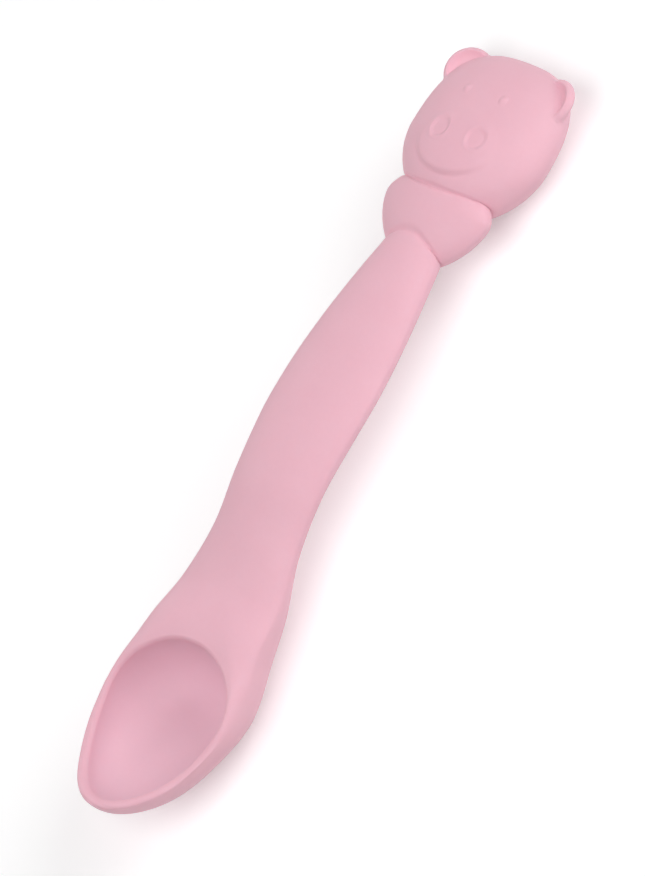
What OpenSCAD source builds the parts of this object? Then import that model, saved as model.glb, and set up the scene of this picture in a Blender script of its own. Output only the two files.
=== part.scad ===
// Baby feeding spoon: soft silicone moulded over a stiff nylon core.
// Length runs along +Y from the bowl's tip to the crown of the head, +X is across and +Z is up.
// The origin lies on the table, under the middle of the spoon's length and width.

/* [Overall] */
// Length from the tip of the bowl to the crown of the head
spoon_l = 155; // [145:1:170]
// Depth by which the underside is flattened where the spoon rests
rest_cut = 0.35; // [0.25:0.05:0.6]

/* [Bowl] */
// Length from the tip to the crest of the heel
bowl_l = 36.8; // [34:0.1:40]
// Width over the rim at the widest place
bowl_w = 29.2; // [27:0.1:31]
// Distance from the tip to the widest place of the outside
bowl_wide_y = 22.4; // [20.5:0.1:24.5]
// Distance from the tip to the deepest place of the outside
bowl_deep_y = 27; // [24.5:0.1:28.5]
// Height of the rim at the tip
rim_tip_h = 18; // [16.6:0.1:19.6]
// Height of the rim where it dips, beside the middle of the bowl
rim_dip_h = 13.5; // [13:0.1:14.2]
// Height of the rim's crest at the heel
rim_heel_h = 15.4; // [14.8:0.1:16.4]
// Thickness of the rounded rim
rim_t = 1.7; // [1.4:0.1:2.2]
// Silicone under the cavity
floor_t = 3.2; // [2.4:0.1:4]

/* [Handle] */
// Width at the waist behind the bowl
waist_w = 19; // [17:0.1:20]
// Width where the grip swells
grip_w = 20.6; // [19:0.1:23]
// Width where the handle enters the shoulders
neck_w = 11.4; // [10.4:0.1:13]
// Thickness of the waist
waist_t = 9.8; // [9:0.1:11]
// Thickness of the grip
grip_t = 8.6; // [8:0.1:10]
// Thickness of the neck
neck_t = 8; // [7.4:0.1:9]
// Height of the top of the arch above the table
arch_h = 19; // [17.6:0.1:21]
// Height of the top of the neck
neck_h = 15; // [14.4:0.1:15.6]

/* [Shoulders] */
// Width over the shoulders
shoulder_w = 23.5; // [21.5:0.1:25]
// Thickness of the shoulders
shoulder_t = 11.3; // [10.8:0.1:12.2]
// Length of the shoulders
shoulder_l = 19.8; // [18.6:0.1:21]

/* [Head] */
// Width over the cheeks
head_w = 29.6; // [27.5:0.1:32]
// Thickness from the face to the back
head_t = 16.4; // [15.6:0.1:17.6]
// Height from the cheeks to the crown
crown_l = 18; // [16.8:0.1:19.2]
// Height from the cheeks down to the chin
chin_l = 14.4; // [13.8:0.1:15.4]
// Fall of the crown below the level of the cheeks, as the head leans back
crown_fall = 1.75; // [1:0.05:2.2]
// Diameter of an ear
ear_d = 9.1; // [8.2:0.1:9.8]
// Thickness of an ear
ear_t = 3.1; // [2.6:0.1:3.8]
// Distance between the centres of the ears
ear_gap = 19.9; // [19.2:0.1:21.2]

/* [Face] */
// Diameter of the snout's dome
snout_d = 14.4; // [13:0.1:15.4]
// Rise of the snout's dome above the face
snout_rise = 0.5; // [0.35:0.05:0.7]
// Diameter of a nostril's dish
nostril_d = 3.8; // [3.2:0.1:4.4]
// Depth of a nostril's dish
nostril_deep = 0.4; // [0.25:0.05:0.5]
// Distance between the nostrils
nostril_gap = 8.2; // [7.4:0.1:9]
// Diameter of an eye's bead
eye_d = 1.5; // [1.2:0.1:2]
// Distance between the eyes
eye_gap = 8.5; // [7.8:0.1:9.6]

/* [Core] */
// Thickness of the nylon
core_t = 3; // [2.4:0.1:3.4]
// Width of the nylon shank
core_w = 7; // [6:0.1:8]
// Width of the nylon foot behind the bowl
foot_w = 11; // [9:0.1:12]
// Diameter of the nylon paddle in the head
paddle_d = 15; // [13:0.1:17]
// Diameter of the holes that lock the silicone to the nylon
lock_d = 3; // [2.4:0.1:3.4]

/* [Hidden] */
// Points round each ring of the skin
around = 48;
// Rings of the cavity, of the lip, of the fan under the bowl, of the handle and of the head
cavity_rings = 9;
lip_rings = 4;
fan_rings = 20;
handle_rings = 20;
head_rings = 33;
// Halvings of each search for the surface
halvings = 14;
// Share of the lip's radius that stands for nothing, to keep divisions defined
tiny_share = 0.01;
// Fullness of the tip seen from above, along and across, of the keel seen from the side, of the
// heel seen from above, and of the cavity's floor at the tip and at the heel
tip_n = 1.65;
tip_m = 2.02;
keel_n = 1.6;
keel_m = 2.6;
heel_n = 2.1;
floor_tip_n = 1.7;
floor_heel_n = 2.6;
// Fullness of the head and shoulders: outline (back, front), side view (back, front), section
head_shares = [[1.79, 2.65], [2.48, 1.73], 2.05];
shoulder_shares = [[1.63, 1.63], [2.34, 2.34], 1.8];

lip_r = rim_t / 2;
head_y = spoon_l - crown_l;
face_t = 0.455 * head_t;
head_h = head_t - face_t - rest_cut;
shoulder_y = head_y - 0.91 * chin_l;
shoulder_h = neck_h - neck_t / 2 - 0.03 * shoulder_t;
shoulder_top_t = 0.433 * shoulder_t;
shoulder_back_l = 0.605 * shoulder_l;
head_lean = -crown_fall / crown_l;
handle_l = shoulder_y - bowl_l;
function handle_y(share) = bowl_l + share * handle_l;

// Knots of the lines that shape the bowl and handle: half-width, height of the top, thickness,
// and how far the widest line lies under the top
half_ws = [
    [bowl_wide_y, bowl_w / 2],
    [0.8 * bowl_l, 0.967 * bowl_w / 2],
    [bowl_l, 0.87 * bowl_w / 2],
    [handle_y(0.1), 0.94 * (bowl_w + waist_w) / 4],
    [handle_y(0.22), waist_w / 2],
    [handle_y(0.34), 1.005 * waist_w / 2],
    [handle_y(0.5), grip_w / 2],
    [handle_y(0.58), 0.997 * grip_w / 2],
    [handle_y(0.7), 0.905 * grip_w / 2],
    [handle_y(0.82), 0.95 * (grip_w + neck_w) / 4],
    [handle_y(0.93), neck_w / 2],
    [shoulder_y, 0.86 * neck_w / 2]
];
tops = [
    [0, rim_tip_h],
    [0.25 * bowl_l, 0.23 * rim_tip_h + 0.77 * rim_dip_h],
    [0.48 * bowl_l, rim_dip_h],
    [0.84 * bowl_l, 0.3 * rim_dip_h + 0.7 * rim_heel_h],
    [bowl_l, rim_heel_h],
    [handle_y(0.1), 0.975 * rim_heel_h],
    [handle_y(0.22), 0.6 * rim_heel_h + 0.4 * arch_h],
    [handle_y(0.34), 0.99 * arch_h],
    [handle_y(0.46), arch_h],
    [handle_y(0.58), 0.8 * arch_h + 0.2 * neck_h],
    [handle_y(0.82), 0.3 * arch_h + 0.7 * neck_h],
    [handle_y(0.93), neck_h],
    [shoulder_y, neck_h - 0.06 * neck_t]
];
thicks = [
    [bowl_deep_y, along(tops, bowl_deep_y) + rest_cut],
    [bowl_l, rim_heel_h],
    [handle_y(0.1), 0.5 * rim_heel_h + 0.5 * waist_t],
    [handle_y(0.22), waist_t],
    [handle_y(0.34), 0.5 * waist_t + 0.5 * grip_t],
    [handle_y(0.5), grip_t],
    [handle_y(0.7), 0.5 * grip_t + 0.5 * neck_t],
    [handle_y(0.93), neck_t],
    [shoulder_y, 0.95 * neck_t]
];
rises = [
    [0, lip_r],
    [0.54 * bowl_l, lip_r],
    [0.75 * bowl_l, 0.215 * rim_heel_h],
    [bowl_l, 0.2 * rim_heel_h],
    [handle_y(0.1), 0.15 * rim_heel_h + 0.15 * waist_t],
    [handle_y(0.22), 0.47 * waist_t],
    [handle_y(0.34), 0.25 * waist_t + 0.25 * grip_t],
    [handle_y(0.5), grip_t / 2],
    [handle_y(0.93), neck_t / 2],
    [shoulder_y, 0.475 * neck_t]
];
fullness_shares = [[0, 2.24], [0.8 * bowl_l, 2.24], [handle_y(0.3), 2.1], [shoulder_y, 2.1]];

// Smooth curve through knots, each slope taken from the neighbours on both sides
function span_of(ks, y, i = 0) = i >= len(ks) - 2 || y < ks[i + 1][0] ? i : span_of(ks, y, i + 1);
function run(ks, i) = ks[i + 1][0] - ks[i][0];
function rise(ks, i) = (ks[i + 1][1] - ks[i][1]) / run(ks, i);
function slope(ks, i) =
    i == 0 ? rise(ks, 0)
    : i == len(ks) - 1 ? rise(ks, i - 1)
    : (run(ks, i) * rise(ks, i - 1) + run(ks, i - 1) * rise(ks, i)) / (run(ks, i) + run(ks, i - 1));
function along(ks, y) =
    let (
        i = span_of(ks, y),
        h = run(ks, i),
        u = min(max((y - ks[i][0]) / h, 0), 1)
    )
    ks[i][1] * (1 + 2 * u) * (1 - u) ^ 2 + slope(ks, i) * h * u * (1 - u) ^ 2
    + ks[i + 1][1] * u * u * (3 - 2 * u) + slope(ks, i + 1) * h * u * u * (u - 1);
function round_off(share, n, m) = max(1 - (1 - min(share, 1)) ^ n, 0) ^ (1 / m);
function ease(share) = let (u = min(max(share, 0), 1)) u * u * (3 - 2 * u);

bowl_depth = along(tops, bowl_deep_y) - along(rises, bowl_deep_y) + rest_cut;

// Half-width of the outside, and its change along the length
function half_w(y) =
    y < bowl_wide_y ? bowl_w / 2 * round_off(y / bowl_wide_y, tip_n, tip_m) : along(half_ws, y);
function spread(y) = (half_w(1.01 * y) - half_w(0.99 * y)) / (0.02 * y);

// Right side of the outline, moved in along its normal, as points [distance from the tip, half-width].
// Near the tip it moves in further than the rest, so that the rim is thicker there.
fan_end = handle_y(0.22);
outline_steps = 90;
function moved_in(inset) = [
    for (i = [1 : outline_steps])
    let (
        y = fan_end * (1 - cos(90 * i / outline_steps)),
        slant = spread(y),
        extra = 0.4 * (inset - lip_r) * (1 - ease(y / (0.4 * bowl_l))),
        d = (inset + extra) / sqrt(1 + slant ^ 2),
        p = [y + d * slant, half_w(y) - d]
    )
    if (p[1] > 0) p
];

// Rim line at an inset, closed round the heel: a table of [turn, distance] about the bowl's middle
narrow_y = 0.62 * bowl_l;
function rim_table(inset) =
    let (
        heel_y = 0.95 * bowl_l - 1.2 * (inset - lip_r),
        side = moved_in(inset),
        closed = [
            for (p = side)
            let (u = max((p[0] - narrow_y) / (heel_y - narrow_y), 0))
            if (u < 1) [p[1] * (1 - u ^ heel_n) ^ (1 / heel_n), p[0] - bowl_l / 2]
        ]
    )
    concat(
        [[-90, bowl_l / 2 - side[0][0]]],
        [for (p = closed) [atan2(p[1], p[0]), norm(p)]],
        [[90, heel_y - bowl_l / 2]]
    );

// Half-width of the flat top: the rim's crest, tapering away behind the heel
flat_end = handle_y(0.1);
flat_table = [
    for (p = moved_in(lip_r))
    let (u = min(max((p[0] - narrow_y) / (flat_end - narrow_y), 0), 1))
    [p[0], p[1] * (1 - u ^ heel_n) ^ 1.5]
];

function keel(y) =
    y < bowl_deep_y
        ? along(tops, y) - along(rises, y) - bowl_depth * round_off(y / bowl_deep_y, keel_n, keel_m)
        : along(tops, y) - along(thicks, y);
function lip_drop(y) = y < lip_r ? lip_r - sqrt(lip_r ^ 2 - (lip_r - max(y, 0)) ^ 2) : 0;

// Cross-section of the body at y: half-width, widest height, rise, drop, fullness and corner
function section(y) =
    let (top = along(tops, y), lift = along(rises, y), mid = top - lift, w = half_w(y))
    [
        w,
        mid,
        max(lift - lip_drop(y), tiny_share * lip_r),
        mid - keel(y),
        along(fullness_shares, y),
        max(w - lookup(y, flat_table), tiny_share * lip_r)
    ];
function in_section(s, x, z) =
    z > s[1] ? (max(abs(x) - s[0] + s[5], 0) / s[5]) ^ 2 + ((z - s[1]) / s[2]) ^ 2 < 1
    : (abs(x) / s[0]) ^ s[4] + ((s[1] - z) / s[3]) ^ s[4] < 1;

// Egg: [y, z], [half-width, thickness above, thickness below], [reach back, reach front], fullness,
// slope of its middle plane
head_egg = [
    [head_y, head_h],
    [head_w / 2, face_t, head_t - face_t],
    [chin_l, crown_l],
    head_shares,
    head_lean
];
shoulder_egg = [
    [shoulder_y, shoulder_h],
    [shoulder_w / 2, shoulder_top_t, shoulder_t - shoulder_top_t],
    [shoulder_back_l, shoulder_l - shoulder_back_l],
    shoulder_shares,
    0
];
function egg_section(e, y) =
    let (
        side = y < e[0][0] ? 0 : 1,
        u = min(abs(y - e[0][0]) / e[2][side], 1),
        m = e[3][0][side],
        n = e[3][1][side],
        wide = (1 - u ^ m) ^ (1 / m),
        deep = (1 - u ^ n) ^ (1 / n)
    )
    [e[1][0] * wide, e[0][1] + e[4] * (y - e[0][0]), e[1][1] * deep, e[1][2] * deep, e[3][2]];
function in_egg(s, x, z) =
    (abs(x) / s[0]) ^ s[4] + (abs(z - s[1]) / (z > s[1] ? s[2] : s[3])) ^ s[4] < 1;

// Snout: a low dome, the cap of a ball whose top stands proud of the face
snout_y = head_y - 0.05 * chin_l;
face_r = head_w ^ 2 / 4 / face_t;
dome_r = 1 / (1 / face_r + 8 * snout_rise / snout_d ^ 2);
function face_z(x, y) =
    let (s = egg_section(head_egg, y))
    s[1] + s[2] * (1 - (abs(x) / s[0]) ^ s[4]) ^ (1 / s[4]);
dome_z = face_z(0, snout_y) + snout_rise - dome_r;
function in_dome(x, y, z) =
    z > head_h && norm([x, y]) < 0.6 * snout_d && norm([x, y, z - dome_z]) < dome_r;

// Distance from a point inside to the skin along a direction in an upright plane, by halving
function reach_upright(ss, es, o, d, near, far, n) =
    n == 0 ? (near + far) / 2
    : let (
        m = (near + far) / 2,
        x = o[0] + m * d[0],
        z = o[2] + m * d[2],
        hits = [
            for (s = ss) if (in_section(s, x, z)) 1,
            for (e = es) if (in_egg(e, x, z)) 1,
            if (in_dome(x, o[1] - snout_y, z)) 1
        ]
    )
        len(hits) > 0
            ? reach_upright(ss, es, o, d, m, far, n - 1) : reach_upright(ss, es, o, d, near, m, n - 1);

angles = [for (i = [0 : around - 1]) 360 * i / around];

// Ring on the top line at an inset from the outside, and drop below it
function rim_ring(inset, drop) =
    let (table = rim_table(inset))
    [
        for (a = angles)
        let (r = lookup(asin(sin(a)), table), y = bowl_l / 2 + r * sin(a))
        [r * cos(a), y, along(tops, y) - drop]
    ];

// Cavity from its floor up to the rim, as contours that shrink towards the floor
cavity_y = 0.68 * bowl_l;
function bowl_curve(share, n) = 1 - (1 - share ^ n) ^ 0.5;
cavity_rim = rim_ring(rim_t, lip_r);
top_share = sin(89.55) ^ 0.9;
cavity = [
    for (i = [1 : cavity_rings])
    let (share = sin(89.55 * i / cavity_rings) ^ 0.9)
    [
        for (p = cavity_rim)
        let (
            n = floor_tip_n + (floor_heel_n - floor_tip_n) * ease(p[1] / cavity_y),
            f = bowl_curve(share, n) / bowl_curve(top_share, n)
        )
        [share * p[0], cavity_y + share * (p[1] - cavity_y), floor_t + f * (p[2] - floor_t)]
    ]
];
lip = [
    for (i = [1 : lip_rings])
    let (turn = 90 * i / lip_rings)
    rim_ring(lip_r * (1 + cos(turn)), lip_r * (1 - sin(turn)))
];

// Fan of ring planes, from nearly level under the rim to upright behind the heel. Each runs from a
// point of the keel to one of the top line, with heights measured from the top line.
roll_rings = 3;
belly_rings = 10;
back_rings = fan_rings - roll_rings - belly_rings;
function keel_y(i) =
    i <= roll_rings ? lip_r * (1 - sin(90 * i / roll_rings))
    : i <= roll_rings + belly_rings ? bowl_deep_y * (1 - cos(90 * (i - roll_rings) / belly_rings))
    : bowl_deep_y + (fan_end - bowl_deep_y) * (i - roll_rings - belly_rings) / back_rings;
function keel_drop(i) =
    i <= roll_rings ? lip_r * (1 - cos(90 * i / roll_rings)) : along(tops, keel_y(i)) - keel(keel_y(i));
function top_y(i) =
    let (start = 0.95 * bowl_l)
    start + (fan_end - start) * (i / fan_rings) ^ 1.4;
fan = [
    for (i = [1 : fan_rings])
    let (
        k = [keel_y(i), -keel_drop(i)],
        t = [top_y(i), 0],
        mid = (k + t) / 2,
        l = norm(t - k),
        d = (t - k) / l
    )
    [
        for (a = angles)
        let (r = reach_flat([0, mid[0], mid[1]], [cos(a), sin(a) * d[0], sin(a) * d[1]], 0, l, halvings))
        unflat([cos(a) * r, mid[0] + sin(a) * d[0] * r, mid[1] + sin(a) * d[1] * r])
    ]
];
function unflat(p) = [p[0], p[1], p[2] + along(tops, p[1])];
function reach_flat(o, d, near, far, n) =
    n == 0 ? (near + far) / 2
    : let (m = (near + far) / 2, p = unflat(o + m * d))
        p[1] > 0 && in_section(section(p[1]), p[0], p[2])
            ? reach_flat(o, d, m, far, n - 1) : reach_flat(o, d, near, m, n - 1);

// Upright rings of the handle, shoulders and head
function ring_h(y) =
    y < shoulder_y ? along(tops, y) - along(rises, y)
    : y < head_y ? shoulder_h + (head_h - shoulder_h) * (y - shoulder_y) / (head_y - shoulder_y)
    : head_h + head_lean * (y - head_y);
function upright(y) =
    let (
        ss = y < shoulder_y ? [section(y)] : [],
        es = [
            if (y > shoulder_y - shoulder_back_l && y < shoulder_y - shoulder_back_l + shoulder_l)
            egg_section(shoulder_egg, y),
            if (y > head_y - chin_l && y < spoon_l) egg_section(head_egg, y)
        ],
        mid = ring_h(y)
    )
    [
        for (a = angles)
        let (r = reach_upright(ss, es, [0, y, mid], [cos(a), 0, sin(a)], 0, head_w, halvings))
        [r * cos(a), y, mid + r * sin(a)]
    ];
handle_end = shoulder_y - 0.95 * shoulder_back_l;
handle = [for (i = [1 : handle_rings]) upright(fan_end + (handle_end - fan_end) * i / handle_rings)];
chin_rings = 18;
crown_rings = head_rings - chin_rings;
head = [
    for (i = [1 : chin_rings]) upright(handle_end + (head_y - handle_end) * i / chin_rings),
    for (i = [1 : crown_rings]) upright(head_y + crown_l * sin(90 * i / (crown_rings + 0.6)))
];

rings = concat(cavity, lip, fan, handle, head);
first_pole = [0, cavity_y, floor_t];
last_pole = [0, spoon_l, ring_h(spoon_l)];
skin_points = concat([first_pole], [for (r = rings) for (p = r) p], [last_pole]);
last = len(rings) - 1;
function at(i, j) = 1 + i * around + j % around;
skin_faces = concat(
    [for (j = [0 : around - 1]) [0, at(0, j + 1), at(0, j)]],
    [for (i = [0 : last - 1]) for (j = [0 : around - 1]) [at(i, j), at(i + 1, j + 1), at(i + 1, j)]],
    [for (i = [0 : last - 1]) for (j = [0 : around - 1]) [at(i, j), at(i, j + 1), at(i + 1, j + 1)]],
    [for (j = [0 : around - 1]) [len(skin_points) - 1, at(last, j), at(last, j + 1)]]
);

module skin() {
    translate([0, -spoon_l / 2, 0]) polyhedron(skin_points, skin_faces);
}

// One ear: a round flap with a full round edge and a shallow dish in front, let into the head
ear_y = spoon_l - 0.593 * ear_d;
ear_h = head_h - 0.04 * ear_t;
module ear(side) {
    edge_r = ear_t / 2;
    dish_r = 0.7 * ear_d;
    translate([side * ear_gap / 2, ear_y - spoon_l / 2, ear_h])
    difference() {
        rotate_extrude($fn = 48) {
            translate([0, -edge_r]) square([ear_d / 2 - edge_r, ear_t]);
            intersection() {
                translate([ear_d / 2 - edge_r, 0]) circle(r = edge_r, $fn = 24);
                translate([0, -edge_r]) square([ear_d, ear_t]);
            }
        }
        translate([0, 0, ear_t / 5 + dish_r]) sphere(r = dish_r, $fn = 48);
    }
}

// Face: two dished nostrils in the snout and two round eyes
module nostril(side) {
    dish_r = nostril_d ^ 2 / 8 / nostril_deep;
    out = [side * nostril_gap / 2, 0.04 * snout_d, dome_r];
    translate([0, snout_y - spoon_l / 2, dome_z] + (dome_r + dish_r - nostril_deep) / norm(out) * out)
    sphere(r = dish_r, $fn = 48);
}
module eye(side) {
    x = side * eye_gap / 2;
    y = head_y + 0.48 * crown_l;
    translate([x, y - spoon_l / 2, face_z(x, y) - eye_d / 5]) sphere(d = eye_d, $fn = 20);
}

// Line along the middle of the nylon, through the handle and into the head
core_front_y = bowl_l + 1.6 * rim_t;
core_back_y = head_y + paddle_d / 2;
function core_z(y) =
    y > shoulder_y ? shoulder_h + (head_h - shoulder_h) * ease((y - shoulder_y) / (head_y - shoulder_y))
    : (along(tops, y) + keel(y)) / 2;
core_steps = 40;
module core_strip() {
    ys = [for (i = [0 : core_steps]) core_front_y + (core_back_y - core_front_y) * i / core_steps];
    rotate([90, 0, 90])
    linear_extrude(height = bowl_w, center = true)
    polygon(concat(
        [for (y = ys) [y, core_z(y) - core_t / 2]],
        [for (i = [core_steps : -1 : 0]) [ys[i], core_z(ys[i]) + core_t / 2]]
    ));
}
module core_plan() {
    shank_l = head_y - core_front_y;
    linear_extrude(height = 2 * arch_h) {
        difference() {
            union() {
                translate([-core_w / 2, core_front_y]) square([core_w, shank_l]);
                translate([0, head_y]) circle(d = paddle_d, $fn = 48);
                translate([0, core_front_y + foot_w / 2]) circle(d = foot_w, $fn = 48);
            }
            for (share = [0.1, 0.3, 0.5, 0.7])
            translate([0, bowl_l + share * handle_l]) circle(d = lock_d, $fn = 32);
            translate([0, head_y]) circle(d = 2 * lock_d, $fn = 32);
        }
    }
}
module core_form() {
    translate([0, -spoon_l / 2, 0]) intersection() {
        core_strip();
        core_plan();
    }
}

module silicone_body() {
    color("pink")
    difference() {
        union() {
            skin();
            ear(-1);
            ear(1);
            eye(-1);
            eye(1);
        }
        nostril(-1);
        nostril(1);
        core_form();
        translate([-bowl_w, -spoon_l, -bowl_w]) cube([2 * bowl_w, 2 * spoon_l, bowl_w]);
    }
}

module nylon_core() {
    color("white") core_form();
}

silicone_body();
nylon_core();
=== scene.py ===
"""Baby feeding spoon, soft silicone over a nylon core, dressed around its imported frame."""
import bpy
import numpy as np
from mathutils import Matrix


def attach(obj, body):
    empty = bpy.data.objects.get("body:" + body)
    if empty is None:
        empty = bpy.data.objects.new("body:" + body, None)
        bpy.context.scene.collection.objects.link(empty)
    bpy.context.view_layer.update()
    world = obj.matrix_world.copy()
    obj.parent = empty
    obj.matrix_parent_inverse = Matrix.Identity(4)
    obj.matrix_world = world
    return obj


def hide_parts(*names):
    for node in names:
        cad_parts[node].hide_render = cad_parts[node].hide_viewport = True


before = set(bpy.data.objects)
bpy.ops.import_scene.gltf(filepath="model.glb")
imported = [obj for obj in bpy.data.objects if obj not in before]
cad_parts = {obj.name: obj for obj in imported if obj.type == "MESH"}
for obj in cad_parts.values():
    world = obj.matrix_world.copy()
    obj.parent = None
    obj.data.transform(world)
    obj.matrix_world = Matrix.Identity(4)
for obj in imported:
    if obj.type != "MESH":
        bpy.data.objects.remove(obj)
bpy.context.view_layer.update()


# Nylon core
# The stiffener inside the handle: a flat nylon strip with a foot, a paddle and round holes.
# It is injection moulded first, in natural nylon, and laid into the silicone mould.
# It keeps its CAD shape and stays hidden, so it only takes its own finish.

class Wire:
    """A shader socket used as a number; each operator adds one Math node."""

    def __init__(self, finish, socket):
        self.finish = finish
        self.socket = socket

    def math(self, operation, first, second):
        return self.finish.node("ShaderNodeMath", {"operation": operation}, {0: first, 1: second})

    def __add__(self, other):
        return self.math("ADD", self, other)

    def __radd__(self, other):
        return self.math("ADD", other, self)

    def __rmul__(self, other):
        return self.math("MULTIPLY", other, self)


class Finish:
    """A material with one Principled surface, built node by node."""

    def __init__(self, name):
        self.material = bpy.data.materials.new(name)
        self.material.use_nodes = True
        self.tree = self.material.node_tree
        self.tree.nodes.clear()
        self.output = self.tree.nodes.new("ShaderNodeOutputMaterial")
        self.place = self.node("ShaderNodeTexCoord", out="Object")

    def node(self, kind, settings=None, sockets=None, out=0):
        """Adds one node: settings first, then a value or a link for each named socket."""
        made = self.tree.nodes.new(kind)
        for key, value in (settings or {}).items():
            setattr(made, key, value)
        for key, value in (sockets or {}).items():
            if isinstance(value, Wire):
                self.tree.links.new(value.socket, made.inputs[key])
            else:
                made.inputs[key].default_value = value
        return Wire(self, made.outputs[out])

    def noise(self, size, detail=2.0, roughness=0.5):
        """Noise from 0 to 1 whose blotches are about as wide as size, in metres."""
        return self.node(
            "ShaderNodeTexNoise",
            {"noise_dimensions": "3D"},
            {"Vector": self.place, "Scale": 1 / size, "Detail": detail, "Roughness": roughness},
        )

    def tint(self, share, low, high):
        """Colour that goes from low to high as share goes from 0 to 1."""
        return self.node(
            "ShaderNodeMix",
            {"data_type": "RGBA", "clamp_factor": True},
            {0: share, 6: (*low, 1.0), 7: (*high, 1.0)},
            out=2,
        )

    def surface(self, **sockets):
        """Principled surface with these sockets, wired to the output."""
        named = {key.replace("_", " "): value for key, value in sockets.items()}
        shader = self.node("ShaderNodeBsdfPrincipled", None, named)
        self.tree.links.new(shader.socket, self.output.inputs["Surface"])
        return self.material


def rgb(red, green, blue):
    """Linear colour from three display values of 0 to 255, by the sRGB curve."""
    share = np.array([red, green, blue]) / 255
    return tuple(np.where(share <= 0.04045, share / 12.92, ((share + 0.055) / 1.055) ** 2.4))


nylon = Finish("nylon_natural")
flow = nylon.noise(0.004, detail=3.0)
grain = nylon.noise(0.00025, detail=2.0)
nylon_finish = nylon.surface(
    Base_Color=nylon.tint(flow, rgb(232, 229, 218), rgb(242, 240, 232)),
    Roughness=0.36 + 0.12 * flow,
    IOR=1.53,
    Normal=nylon.node("ShaderNodeBump", None, {"Strength": 0.3, "Distance": 0.00002, "Height": grain}),
)
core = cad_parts["nylon_core"]
core.data.materials.clear()
core.data.materials.append(nylon_finish)


# Silicone body
# The whole outside in one piece: bowl with a rounded rim, arched handle, shoulders and
# a plain piglet's head. Soft pink silicone, compression moulded round the core and left
# matt from the mould's blasted walls. Sizes are in millimetres, from the tip along +Y.

# Names end in l, w and t for length, width and thickness, h and y for height and place.
spoon_l = 155.0
rest_cut = 0.35

bowl_l = 36.8
bowl_w = 29.2
bowl_wide_y = 22.4
bowl_deep_y = 27.0
rim_tip_h = 18.0
rim_dip_h = 13.5
rim_heel_h = 15.4
rim_t = 1.7
floor_t = 3.2

# Exponents of the rounded ends: the outline at the tip, the keel, the rim at the heel, and
# the cavity's floor at the tip and the heel.
tip_n, tip_m = 1.65, 2.02
keel_n, keel_m = 1.6, 2.6
heel_n = 2.1
floor_tip_n, floor_heel_n = 1.7, 2.6

waist_w, grip_w, neck_w = 19.0, 20.6, 11.4
waist_t, grip_t, neck_t = 9.8, 8.6, 8.0
arch_h, neck_h = 19.0, 15.0

shoulder_w, shoulder_t, shoulder_l = 23.5, 11.3, 19.8
head_w, head_t, crown_l, chin_l, crown_fall = 29.6, 16.4, 18.0, 14.4, 1.75
head_blunt = ((1.79, 2.85), (2.48, 1.95), 2.05)
shoulder_blunt = ((1.63, 1.63), (2.34, 2.34), 1.8)

ear_d, ear_t, ear_gap = 9.5, 2.2, 19.8
ear_dish_deep = 0.85
ear_cup = np.radians(15)
ear_root_r = 0.4
crease_w, crease_deep = 0.24, 0.38

lip_r = rim_t / 2
head_y = spoon_l - crown_l
face_t = 0.455 * head_t
head_h = head_t - face_t - rest_cut
head_lean = -crown_fall / crown_l
shoulder_y = head_y - 0.91 * chin_l
shoulder_h = neck_h - neck_t / 2 - 0.03 * shoulder_t
shoulder_top_t = 0.433 * shoulder_t
shoulder_back_l = 0.605 * shoulder_l
handle_l = shoulder_y - bowl_l


def handle_y(share):
    """Place along the handle: the heel's crest plus a share of the way to the shoulders."""
    return bowl_l + share * handle_l


def along(knots, y):
    """Cubic curve through the knots; each slope is the weighted mean of its two neighbours'."""
    place, value = np.array(knots, float).T
    run = np.diff(place)
    rise = np.diff(value) / run
    inner = (run[1:] * rise[:-1] + run[:-1] * rise[1:]) / (run[1:] + run[:-1])
    slope = np.concatenate([rise[:1], inner, rise[-1:]])
    i = np.clip(np.searchsorted(place, y, side="right") - 1, 0, len(run) - 1)
    u = np.clip((y - place[i]) / run[i], 0, 1)
    return (
        value[i] * (1 + 2 * u) * (1 - u) ** 2
        + slope[i] * run[i] * u * (1 - u) ** 2
        + value[i + 1] * u * u * (3 - 2 * u)
        + slope[i + 1] * run[i] * u * u * (u - 1)
    )


# Knots by place: the outline's half-width, the top line, the thickness, the rise of the top
# line over the widest line, and the fullness of the section below it.
half_widths = (
    (bowl_wide_y, bowl_w / 2),
    (0.8 * bowl_l, 0.967 * bowl_w / 2),
    (bowl_l, 0.87 * bowl_w / 2),
    (handle_y(0.1), 0.94 * (bowl_w + waist_w) / 4),
    (handle_y(0.22), waist_w / 2),
    (handle_y(0.34), 1.005 * waist_w / 2),
    (handle_y(0.5), grip_w / 2),
    (handle_y(0.58), 0.997 * grip_w / 2),
    (handle_y(0.7), 0.905 * grip_w / 2),
    (handle_y(0.82), 0.95 * (grip_w + neck_w) / 4),
    (handle_y(0.93), neck_w / 2),
    (shoulder_y, 0.86 * neck_w / 2),
)
tops = (
    (0, rim_tip_h),
    (0.25 * bowl_l, 0.23 * rim_tip_h + 0.77 * rim_dip_h),
    (0.48 * bowl_l, rim_dip_h),
    (0.84 * bowl_l, 0.3 * rim_dip_h + 0.7 * rim_heel_h),
    (bowl_l, rim_heel_h),
    (handle_y(0.1), 0.975 * rim_heel_h),
    (handle_y(0.22), 0.6 * rim_heel_h + 0.4 * arch_h),
    (handle_y(0.34), 0.99 * arch_h),
    (handle_y(0.46), arch_h),
    (handle_y(0.58), 0.8 * arch_h + 0.2 * neck_h),
    (handle_y(0.82), 0.3 * arch_h + 0.7 * neck_h),
    (handle_y(0.93), neck_h),
    (shoulder_y, neck_h - 0.06 * neck_t),
)
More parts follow.
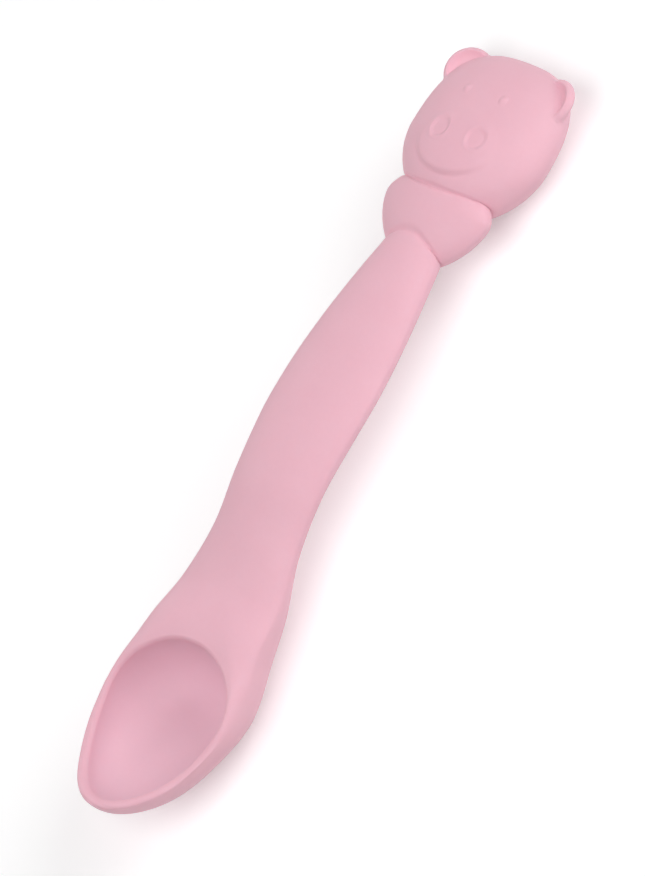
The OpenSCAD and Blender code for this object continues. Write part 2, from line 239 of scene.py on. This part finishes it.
thicks = (
    (bowl_deep_y, along(tops, bowl_deep_y) + rest_cut),
    (bowl_l, rim_heel_h),
    (handle_y(0.1), 0.5 * rim_heel_h + 0.5 * waist_t),
    (handle_y(0.22), waist_t),
    (handle_y(0.34), 0.5 * waist_t + 0.5 * grip_t),
    (handle_y(0.5), grip_t),
    (handle_y(0.7), 0.5 * grip_t + 0.5 * neck_t),
    (handle_y(0.93), neck_t),
    (shoulder_y, 0.95 * neck_t),
)
rises = (
    (0, lip_r),
    (0.54 * bowl_l, lip_r),
    (0.75 * bowl_l, 0.215 * rim_heel_h),
    (bowl_l, 0.2 * rim_heel_h),
    (handle_y(0.1), 0.15 * rim_heel_h + 0.15 * waist_t),
    (handle_y(0.22), 0.47 * waist_t),
    (handle_y(0.34), 0.25 * waist_t + 0.25 * grip_t),
    (handle_y(0.5), grip_t / 2),
    (handle_y(0.93), neck_t / 2),
    (shoulder_y, 0.475 * neck_t),
)
fullnesses = ((0, 2.24), (0.8 * bowl_l, 2.24), (handle_y(0.3), 2.1), (shoulder_y, 2.1))


def ease(share):
    """Smooth step: 3 s^2 - 2 s^3 with s held between 0 and 1."""
    s = np.clip(share, 0, 1)
    return s * s * (3 - 2 * s)


def fall(share, start, width):
    """One up to start, then a smooth step down to zero over width."""
    return 1 - ease((share - start) / width)


def ridge(share, crest, width):
    """Bell-shaped ridge, one high at its crest: e^(-((s - crest) / width)^2)."""
    return np.exp(-(((share - crest) / width) ** 2))


def round_off(share, n, m):
    """Quarter of a round end: (1 - (1 - share)^n)^(1 / m)."""
    return np.maximum(1 - (1 - np.clip(share, 0, 1)) ** n, 0) ** (1 / m)


bowl_depth = along(tops, bowl_deep_y) - along(rises, bowl_deep_y) + rest_cut


def keel(y):
    """Height of the underside: a round end under the bowl, then the top less the thickness."""
    bowl = along(tops, y) - along(rises, y) - bowl_depth * round_off(y / bowl_deep_y, keel_n, keel_m)
    return np.where(y < bowl_deep_y, bowl, along(tops, y) - along(thicks, y))


def half_width(y):
    """Half-width of the outside: a round tip up to the widest place, then the knots."""
    tip = bowl_w / 2 * round_off(y / bowl_wide_y, tip_n, tip_m)
    return np.where(y < bowl_wide_y, tip, along(half_widths, y))


fan_end = handle_y(0.22)
narrow_y = 0.62 * bowl_l
cavity_y = 0.68 * bowl_l
heel_crest_y = 0.95 * bowl_l
heel_slope = 0.8
tip_extra, tip_extra_l = 0.4, 0.4 * bowl_l
outline_points = 1600


def moved_in(inset):
    """Right half of the outside's outline, moved in along its normal, as x and y.

    Near the tip whatever lies past the rim's crest moves in by tip_extra more, so that
    the rim is thicker there."""
    y = fan_end * (1 - np.cos(np.linspace(0, np.pi / 2, outline_points)))
    x = half_width(y)
    dx, dy = np.gradient(x), np.gradient(y)
    long = np.hypot(dx, dy)
    extra = inset + tip_extra * (inset - lip_r) * (1 - ease(y / tip_extra_l))
    x, y = x - extra * dy / long, y + extra * dx / long
    return x[x > 0], y[x > 0]


def rim_line(inset):
    """The moved outline, its width rounded off as a superellipse towards the heel."""
    x, y = moved_in(inset)
    heel_y = heel_crest_y - heel_slope * (inset - lip_r)
    x, y = x[y < heel_y], y[y < heel_y]
    u = np.clip((y - narrow_y) / (heel_y - narrow_y), 0, 1)
    x = x * (1 - u ** heel_n) ** (1 / heel_n)
    return np.append(np.append(0, x), 0), np.append(np.append(y[0], y), heel_y)


crest_x, crest_y = moved_in(lip_r)
flat_end_y, flat_m = handle_y(0.1), 1.5
flat_x = crest_x * (1 - np.clip((crest_y - narrow_y) / (flat_end_y - narrow_y), 0, 1) ** heel_n) ** flat_m

# Least sizes that keep divisions from failing, the range that a gap is held to, and the gap
# that is given past a body's ends.
hair = 0.0001
least_gauge = 0.000001
gap_range = (-5, 50)
beyond = 10.0


def body_gap(x, y, z):
    """How far a point is outside the bowl and handle, measured along its own radius.

    The section at y is a superellipse below its widest line. Above it lies a flat top, as
    wide as the rim's crest and tapering away behind the heel, with elliptical corners. The
    gap is r (1 - 1 / g), where g is the section's gauge."""
    lift = along(rises, y)
    mid = along(tops, y) - lift
    in_lip = np.clip(lip_r - y, 0, lip_r)
    up = np.maximum(lift - lip_r + np.sqrt(lip_r ** 2 - in_lip ** 2), 0.01 * lip_r)
    down = np.maximum(mid - keel(y), 10 * hair)
    wide = np.maximum(half_width(y), hair)
    corner = np.maximum(wide - np.interp(y, crest_y, flat_x, left=0), hair)
    n = along(fullnesses, y)
    rise = z - mid
    over = np.hypot(np.maximum(np.abs(x) - wide + corner, 0) / corner, np.maximum(rise, 0) / up)
    under = ((np.abs(x) / wide) ** n + (np.maximum(-rise, 0) / down) ** n) ** (1 / n)
    gauge = np.maximum(np.where(rise > 0, over, under), least_gauge)
    gap = np.clip(np.hypot(x, rise) * (1 - 1 / gauge), *gap_range)
    return np.where((y <= 0) | (y >= shoulder_y), beyond, gap)


def egg_gap(x, y, z, centre, half, ends, blunt, lean=0):
    """How far a point is outside an egg, measured along its own radius in the section at y.

    centre is (y, z), half (half-width, thickness above, thickness below), ends its reach
    (back, front), blunt the exponents ((outline back, front), (side view back, front),
    section), and lean the slope of its middle plane. Outline, side view and section are
    superellipses, and the gap is r (1 - 1 / g), where g is the section's gauge."""
    back = y < centre[0]
    u = np.minimum(np.abs(y - centre[0]) / np.where(back, ends[0], ends[1]), 1)
    m = np.where(back, blunt[0][0], blunt[0][1])
    n = np.where(back, blunt[1][0], blunt[1][1])
    p = blunt[2]
    rise = z - centre[1] - lean * (y - centre[0])
    wide = half[0] * np.maximum((1 - u ** m) ** (1 / m), hair)
    deep = np.where(rise > 0, half[1], half[2]) * np.maximum((1 - u ** n) ** (1 / n), hair)
    gauge = np.maximum(((np.abs(x) / wide) ** p + (np.abs(rise) / deep) ** p) ** (1 / p), least_gauge)
    return np.where(u >= 1, beyond, np.clip(np.hypot(x, rise) * (1 - 1 / gauge), *gap_range))


def creased(first, second):
    """Least of two gaps, with a groove pressed in along the line where the bodies meet.

    The groove is a bell-shaped ridge of the two gaps' difference, added to the gap."""
    return np.minimum(first, second) + crease_deep * ridge(first - second, 0, crease_w)


snout_y, snout_w, snout_l, snout_rise = 135.3, 16.3, 12.4, 0.42
snout_top_share, snout_fade = 0.55, 6
smile_deep, smile_end_y, smile_fade = 0.24, snout_y - 1, 4
nostril_x, nostril_y, nostril_w, nostril_l = 4.2, 136.9, 3.9, 4.5
nostril_deep, nostril_line = 0.32, 0.1
eye_x, eye_y, eye_d, eye_rise, eye_blunt = 4.2, 145.6, 1.6, 0.5, 0.6
relief_fade = 3


def oval(x, y, centre_x, centre_y, width, length):
    """Distance from an oval's centre as a share of the way to its edge."""
    return np.hypot((x - centre_x) / (width / 2), (y - centre_y) / (length / 2))


def face_relief(x, y):
    """Height of the face's moulding over the egg, in millimetres.

    A low oval snout with a soft step, higher towards the chin, and a line pressed under
    it, two nostrils as flat ovals sunk inside a raised line, and two round eyes."""
    side = np.abs(x)
    away = oval(x, y, 0, snout_y, snout_w, snout_l)
    low = ease((snout_y + snout_fade / 2 - y) / snout_fade)
    snout = snout_rise * fall(away, start=0.86, width=0.28) * (snout_top_share + (1 - snout_top_share) * low)
    smile = -smile_deep * ease((smile_end_y - y) / smile_fade) * ridge(away, crest=1.05, width=0.07)
    hole = oval(side, y, nostril_x, nostril_y, nostril_w, nostril_l)
    dish = -nostril_deep * fall(hole, start=0.72, width=0.3)
    line = nostril_line * ridge(hole, crest=1.12, width=0.12)
    bead = np.clip(1 - oval(side, y, eye_x, eye_y, eye_d, eye_d) ** 2, 0, 1)
    return snout + smile + dish + line + eye_rise * bead ** eye_blunt


ear_y = spoon_l - 0.593 * ear_d
ear_h = head_h - 0.14 * ear_t
ear_edge_r = ear_t / 2


def ear_gap_at(x, y, z):
    """How far a point is outside the nearer ear: a disc with a full round edge, dished in front.

    The disc is turned about its own middle by ear_cup, so that its outer edge comes forward."""
    side, lift = np.abs(x) - ear_gap / 2, z - ear_h
    out = np.hypot(side * np.cos(ear_cup) + lift * np.sin(ear_cup), y - ear_y)
    rise = lift * np.cos(ear_cup) - side * np.sin(ear_cup)
    rim = np.hypot(np.maximum(out - ear_d / 2 + ear_edge_r, 0), rise) - ear_edge_r
    dish = rise - ear_edge_r + ear_dish_deep * fall(out, start=0.28 * ear_d, width=0.19 * ear_d)
    return np.maximum(rim, dish)


def head_gap(x, y, z):
    """How far a point is outside the head, whose face is lifted by the relief in front."""
    bare = egg_gap(
        x, y, z, (head_y, head_h), (head_w / 2, face_t, head_t - face_t), (chin_l, crown_l),
        head_blunt, head_lean
    )
    return bare - face_relief(x, y) * ease((z - head_h) / relief_fade)


def body_and_shoulders_gap(x, y, z):
    """Handle and shoulders, with the crease where they meet."""
    shoulders = egg_gap(
        x, y, z, (shoulder_y, shoulder_h),
        (shoulder_w / 2, shoulder_top_t, shoulder_t - shoulder_top_t),
        (shoulder_back_l, shoulder_l - shoulder_back_l), shoulder_blunt
    )
    return creased(body_gap(x, y, z), shoulders)


def ear_fillet(gap, ear):
    """What the fillet adds at the ear's root: a squared bump where the two gaps are alike."""
    near = np.maximum(1 - np.abs(gap - ear) / ear_root_r, 0)
    return near * near * ear_root_r / 4


def skin_gap(x, y, z):
    """Handle, shoulders and head, with the fillet that leads up to the ears."""
    gap = creased(body_and_shoulders_gap(x, y, z), head_gap(x, y, z))
    return gap - ear_fillet(gap, ear_gap_at(x, y, z))


def reach(gap, start, way, far, halvings=24):
    """Distance from start along way at which gap turns positive, by halving up to far."""
    low = np.zeros(np.broadcast_shapes(start.shape, way.shape)[:-1])
    high = low + far
    for _ in range(halvings):
        mid = (low + high) / 2
        inside = gap(*np.moveaxis(start + mid[..., None] * way, -1, 0)) < 0
        low, high = np.where(inside, mid, low), np.where(inside, high, mid)
    return (low + high) / 2


# Rings have this many points, and each stretch of the skin this many rings.
around = 240
turns = 2 * np.pi * np.arange(around) / around
cavity_count, lip_count, fan_count = 40, 12, 72
handle_count, chin_count, crown_count = 48, 160, 64
short_of_pole = 0.6
shoulder_start = shoulder_y - 0.95 * shoulder_back_l


def rim_point(inset, drop):
    """Ring along a rim line, drop below the top line, at even turns about the bowl's middle."""
    x, y = rim_line(inset)
    turned = np.arctan2(y - bowl_l / 2, x)
    folded = np.arcsin(np.sin(turns))
    ring_x = np.interp(folded, turned, x) * np.where(np.cos(turns) < 0, -1, 1)
    ring_y = np.interp(folded, turned, y)
    return np.stack([ring_x, ring_y, along(tops, ring_y) - drop], -1)


def cavity_rings(count, wall_end=0.995, crowding=0.9):
    """Rings that grow from the floor to the rim; height goes as 1 - (1 - share^n)^0.5.

    n falls from the heel to the tip, where the floor runs up to the rim in a longer sweep.
    The shares follow a sine, cut short at wall_end of its quarter turn, so that the rings
    lie closer where the wall is steep."""
    share = np.sin(np.pi / 2 * wall_end * np.arange(1, count + 1) / count)[:, None] ** crowding
    rim = rim_point(rim_t, lip_r)[None]
    n = floor_tip_n + (floor_heel_n - floor_tip_n) * ease(rim[..., 1] / cavity_y)
    curve = (1 - (1 - share ** n) ** 0.5) / (1 - (1 - share[-1] ** n) ** 0.5)
    x = share * rim[..., 0]
    y = cavity_y + share * (rim[..., 1] - cavity_y)
    z = floor_t + curve * (rim[..., 2] - floor_t)
    return np.stack([x, y, z], -1)


def lip_rings(count):
    """Quarter turn from the cavity's edge over the lip to the top line."""
    turn = np.pi / 2 * np.arange(1, count + 1) / count
    return np.stack([rim_point(lip_r * (1 + np.cos(t)), lip_r * (1 - np.sin(t))) for t in turn])


def fan_rings(count, lip_share=0.15, belly_end=0.65, lead=1.4):
    """Rings in planes that fan from level under the rim to upright behind the heel.

    Each plane holds a point of the top line and one of the keel; the height is measured
    from the top line, so that a level plane follows the rim. The keel's point rolls over
    the lip up to lip_share of the rings, goes under the bowl up to belly_end, then back."""
    s = np.arange(1, count + 1) / count
    top_y = heel_crest_y + (fan_end - heel_crest_y) * s ** lead
    roll = np.clip(s / lip_share, 0, 1) * np.pi / 2
    belly = np.clip((s - lip_share) / (belly_end - lip_share), 0, 1) * np.pi / 2
    back = np.clip((s - belly_end) / (1 - belly_end), 0, 1)
    under_y = np.where(
        s <= belly_end,
        bowl_deep_y * (1 - np.cos(belly)),
        bowl_deep_y + back * (fan_end - bowl_deep_y),
    )
    keel_y = np.where(s <= lip_share, lip_r * (1 - np.sin(roll)), under_y)
    under_z = keel(keel_y) - along(tops, keel_y)
    keel_z = np.where(s <= lip_share, -lip_r * (1 - np.cos(roll)), under_z)
    span = np.stack([top_y - keel_y, -keel_z], -1)
    long = np.linalg.norm(span, axis=-1)[:, None]
    span = span / long
    start = np.stack([np.zeros_like(s), (top_y + keel_y) / 2, keel_z / 2], -1)[:, None]
    way = np.stack([
        np.broadcast_to(np.cos(turns), (count, around)),
        np.sin(turns) * span[:, :1],
        np.sin(turns) * span[:, 1:],
    ], -1)
    far = reach(lambda x, y, z: body_gap(x, y, z + along(tops, y)), start, way, long)
    rings = start + far[..., None] * way
    rings[..., 2] += along(tops, rings[..., 1])
    return rings


def upright_rings(y, crowding=0.25):
    """Rings in upright planes through the handle, shoulders and head, closer on the face."""
    body_mid = along(tops, y) - along(rises, y)
    rise = (y - shoulder_y) / (head_y - shoulder_y)
    head_mid = shoulder_h + (head_h - shoulder_h) * np.clip(rise, 0, 1)
    head_mid = head_mid + head_lean * np.maximum(y - head_y, 0)
    mid = np.where(y < shoulder_y, body_mid, head_mid)
    turn = turns + crowding * ease((y - fan_end) / (shoulder_start - fan_end))[:, None] * np.cos(turns)
    start = np.stack([np.zeros_like(y), y, mid], -1)[:, None]
    way = np.stack([np.cos(turn), np.zeros_like(turn), np.sin(turn)], -1)
    return start + reach(skin_gap, start, way, head_w)[..., None] * way


def closed_grid(name, rings, first_pole, last_pole):
    """Mesh of a tube of rings with a fan of triangles to a pole at each end, outwards.

    What would lie below the table is lifted to it, so the underside is flat there."""
    rows, columns = rings.shape[:2]
    points = np.concatenate([[first_pole], rings.reshape(-1, 3), [last_pole]])
    points[:, 2] = np.maximum(points[:, 2], 0)
    points[:, 1] -= spoon_l / 2
    here = 1 + np.arange(rows)[:, None] * columns + np.arange(columns)
    beside = np.roll(here, -1, axis=1)
    quads = np.stack([here[:-1], here[1:], beside[1:], beside[:-1]], -1).reshape(-1, 4)
    first = np.stack([np.zeros(columns, int), here[0], beside[0]], -1)
    last = np.stack([np.full(columns, len(points) - 1), beside[-1], here[-1]], -1)
    mesh = bpy.data.meshes.new(name)
    mesh.from_pydata(
        (points * 0.001).tolist(), [], first.tolist() + quads.tolist() + last.tolist()
    )
    mesh.shade_smooth()
    piece = bpy.data.objects.new(name, mesh)
    bpy.context.scene.collection.objects.link(piece)
    return piece


def spaced(start, end, count):
    """Even places after start, up to end."""
    return start + (end - start) * np.arange(1, count + 1) / count


crown_turn = np.pi / 2 * np.arange(1, crown_count + 1) / (crown_count + short_of_pole)
skin_rings = np.concatenate([
    cavity_rings(cavity_count),
    lip_rings(lip_count),
    fan_rings(fan_count),
    upright_rings(spaced(fan_end, shoulder_start, handle_count)),
    upright_rings(spaced(shoulder_start, head_y, chin_count)),
    upright_rings(head_y + crown_l * np.sin(crown_turn)),
])
skin = closed_grid("silicone_skin", skin_rings, (0, cavity_y, floor_t), (0, spoon_l, head_h - crown_fall))

# Painted light: each point gets a share, kept as the attribute "inside". It is 1 over the cavity's floor and
# walls and fades to 0 across the cavity's edge, so the bowl's inside is painted paler.
painted_light_fade_rings = 16
ring_painted_light = fall(np.arange(len(skin_rings)), cavity_count - painted_light_fade_rings / 2, painted_light_fade_rings)
inside = np.concatenate([[1], np.repeat(ring_painted_light, around), [0]])
skin.data.attributes.new("inside", "FLOAT", "POINT").data.foreach_set("value", inside)

# The bowl's inside is painted a shade paler than the rest. This is painted light, which offsets the shade
# that the deep bowl renders with.
silicone = Finish("silicone_pink")
cloud = silicone.noise(0.009, detail=2.0)
speck = silicone.noise(0.0009, detail=3.0, roughness=0.6)
blast = silicone.noise(0.00022, detail=2.0, roughness=0.6)
mottle = 0.65 * cloud + 0.35 * speck
# Slot 6 is the silicone's own mottled pink. Slot 7 is the paler pink painted inside the bowl as painted
# light.
pigment_and_painted_light = silicone.node(
    "ShaderNodeMix",
    {"data_type": "RGBA"},
    {
        0: silicone.node("ShaderNodeAttribute", {"attribute_name": "inside"}, out="Fac"),
        6: silicone.tint(mottle, rgb(236, 180, 195), rgb(244, 192, 206)),
        7: silicone.tint(mottle, rgb(233, 189, 204), rgb(239, 197, 210)),
    },
    out=2,
)
silicone_finish = silicone.surface(
    Base_Color=pigment_and_painted_light,
    Roughness=0.52 + 0.14 * speck,
    IOR=1.41,
    Subsurface_Weight=0.12,
    Subsurface_Radius=(1.0, 0.45, 0.4),
    Subsurface_Scale=0.002,
    Sheen_Weight=0.08,
    Sheen_Roughness=0.6,
    Normal=silicone.node(
        "ShaderNodeBump",
        None,
        {"Strength": 0.35, "Distance": 0.00003, "Height": 0.7 * blast + 0.3 * speck},
    ),
)
skin.data.materials.append(silicone_finish)
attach(skin, "root")
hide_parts("silicone_body")


# Ears
# Two round flaps that stand off the head, thin and dished in front like a piglet's.
# They are part of the same shot of silicone, and a small fillet runs into the head.

flat_count, edge_count, ear_around = 24, 32, 96


def ear_union_gap(x, y, z):
    """Ear joined to the head: the least gap, less the fillet at the root."""
    ear, head = ear_gap_at(x, y, z), head_gap(x, y, z)
    return np.minimum(ear, head) - ear_fillet(head, ear)


def ear_rings():
    """Rings of the right ear from the middle of its front, over the edge, to that of its back.

    Flat rings start on the ear's middle plane and look square to it; edge rings start on
    the circle of edge centres and turn through half a circle. Both are turned by the cup."""
    flat_r = ear_d / 2 - ear_edge_r
    out = flat_r * np.arange(1, flat_count + 1) / (flat_count + 1)
    turn = np.pi * np.arange(edge_count + 1) / edge_count
    base = np.concatenate([out, np.full(edge_count + 1, flat_r), out[::-1]])[:, None, None]
    angle = np.concatenate([np.zeros(flat_count), turn, np.full(flat_count, np.pi)])[:, None, None]
    spin = 2 * np.pi * np.arange(ear_around) / ear_around
    ring = np.stack([np.cos(spin), np.sin(spin)], -1)
    level = np.zeros((len(angle), ear_around, 1))
    cup = np.array([
        [np.cos(ear_cup), 0, np.sin(ear_cup)],
        [0, 1, 0],
        [-np.sin(ear_cup), 0, np.cos(ear_cup)],
    ])
    start = np.concatenate([base * ring, level], -1) @ cup + (ear_gap / 2, ear_y, ear_h)
    way = np.concatenate([np.sin(angle) * ring, level + np.cos(angle)], -1) @ cup
    return start + reach(ear_union_gap, start, way, ear_edge_r + ear_root_r)[..., None] * way


for side, name in ((-1, "ear_left"), (1, "ear_right")):
    rings = ear_rings()[:, ::-side] * (side, 1, 1)
    poles = [rings[0].mean(0), rings[-1].mean(0)]
    flap = closed_grid(name, rings, *poles)
    flap.data.materials.append(silicone_finish)
    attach(flap, "root")
    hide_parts("silicone_body")


# Table, lamps and camera
# A pale table top with a matt finish, soft round lamps from the right, the left, above and
# close by, and a long lens that looks down at the spoon from its right, as in the photograph.
# Sizes are in metres. The table glows, and the sky is brighter, only for the camera and mirrors.

table_half, table_drop = 3.0, 0.00002
table_mesh = bpy.data.meshes.new("table_top")
corner_x = np.array([-1.0, 1.0, 1.0, -1.0]) * table_half
corner_y = np.array([-1.0, -1.0, 1.0, 1.0]) * table_half
corners = np.stack([corner_x, corner_y, np.full(4, -table_drop)], -1)
table_mesh.from_pydata(corners.tolist(), [], [(0, 1, 2, 3)])
table = bpy.data.objects.new("table_top", table_mesh)
bpy.context.scene.collection.objects.link(table)
paint = Finish("table_white")
seen = paint.node("ShaderNodeLightPath", out="Is Camera Ray")
mirrored = paint.node("ShaderNodeLightPath", out="Is Glossy Ray")
cloudy = paint.noise(0.12)
shown = paint.node("ShaderNodeMath", {"operation": "MAXIMUM"}, {0: seen, 1: mirrored})
white = paint.surface(
    Base_Color=paint.tint(cloudy, rgb(242, 242, 242), rgb(246, 246, 246)),
    Roughness=0.9,
    Emission_Color=(1.0, 1.0, 1.0, 1.0),
    Emission_Strength=0.26 * shown,
)
table_mesh.materials.append(white)

world = bpy.data.worlds.new("studio")
world.use_nodes = True
bpy.context.scene.world = world
sky = world.node_tree
sky.nodes.clear()
ray = sky.nodes.new("ShaderNodeLightPath")
direct = sky.nodes.new("ShaderNodeMath")
direct.operation = "MAXIMUM"
sky.links.new(ray.outputs["Is Camera Ray"], direct.inputs[0])
sky.links.new(ray.outputs["Is Glossy Ray"], direct.inputs[1])
strength = sky.nodes.new("ShaderNodeMapRange")
strength.inputs["To Min"].default_value = 0.1
strength.inputs["To Max"].default_value = 1.0
sky.links.new(direct.outputs[0], strength.inputs["Value"])
glow = sky.nodes.new("ShaderNodeBackground")
glow.inputs["Color"].default_value = (1.0, 1.0, 1.0, 1.0)
sky.links.new(strength.outputs["Result"], glow.inputs["Strength"])
horizon = sky.nodes.new("ShaderNodeOutputWorld")
sky.links.new(glow.outputs[0], horizon.inputs["Surface"])


def placed(name, data, right, up, back, place):
    """Links an object at place, its own x, y and z axes along right, up and back."""
    seat = np.eye(4)
    seat[:3, 0], seat[:3, 1], seat[:3, 2], seat[:3, 3] = right, up, back, place
    made = bpy.data.objects.new(name, data)
    made.matrix_world = seat.T.tolist()
    bpy.context.scene.collection.objects.link(made)
    return made


# Each lamp's place, diameter and power in watts; it looks at the origin.
lamps = {
    "lamp_right": ((0.39, 0.68, 0.45), 0.7, 3.9),
    "lamp_above": ((0.21, -0.37, 0.79), 0.7, 4.3),
    "lamp_left": ((-0.78, 0, 0.45), 0.7, 1.9),
    "lamp_near": ((0.3, 0.16, 0.14), 0.28, 0.17),
}
for name, (place, size, power) in lamps.items():
    lamp = bpy.data.lights.new(name, "AREA")
    lamp.shape = "DISK"
    lamp.size = size
    lamp.energy = power
    back = np.array(place) / np.linalg.norm(place)
    right = np.cross((0, 1, 0), back)
    right /= np.linalg.norm(right)
    placed(name, lamp, right, np.cross(back, right), back, place)

# The view goes round the spoon's length by turn, leans along it by tilt and is rolled to the
# photograph's slant. It was fitted before the spoon was laid on its flats, which tips it by lean.
picture_h_px = 876
px_per_mm = 5.667
lens_mm, film_mm = 1150, 36
turn, tilt, roll, lean = np.radians([38.0, 10.0, 61.34, 1.186])
aim = np.array([0.001656, 0.000137, 0.011297])
long_axis = np.array([np.sin(turn) * np.sin(tilt), np.cos(tilt), np.cos(turn) * np.sin(tilt)])
cross_axis = np.array([np.cos(turn), 0, -np.sin(turn)])
right = np.cos(roll) * long_axis + np.sin(roll) * cross_axis
up = np.sin(roll) * long_axis - np.cos(roll) * cross_axis
level = np.array([
    [1, 0, 0],
    [0, np.cos(lean), np.sin(lean)],
    [0, -np.sin(lean), np.cos(lean)],
])
right, up = level @ right, level @ up
back = np.cross(right, up)
distance = picture_h_px / px_per_mm * 0.001 * lens_mm / film_mm
lens = bpy.data.cameras.new("camera")
lens.lens = lens_mm
lens.sensor_width = film_mm
lens.clip_end = 100
bpy.context.scene.camera = placed("camera", lens, right, up, back, aim + distance * back)
bpy.context.scene.view_settings.view_transform = "Standard"
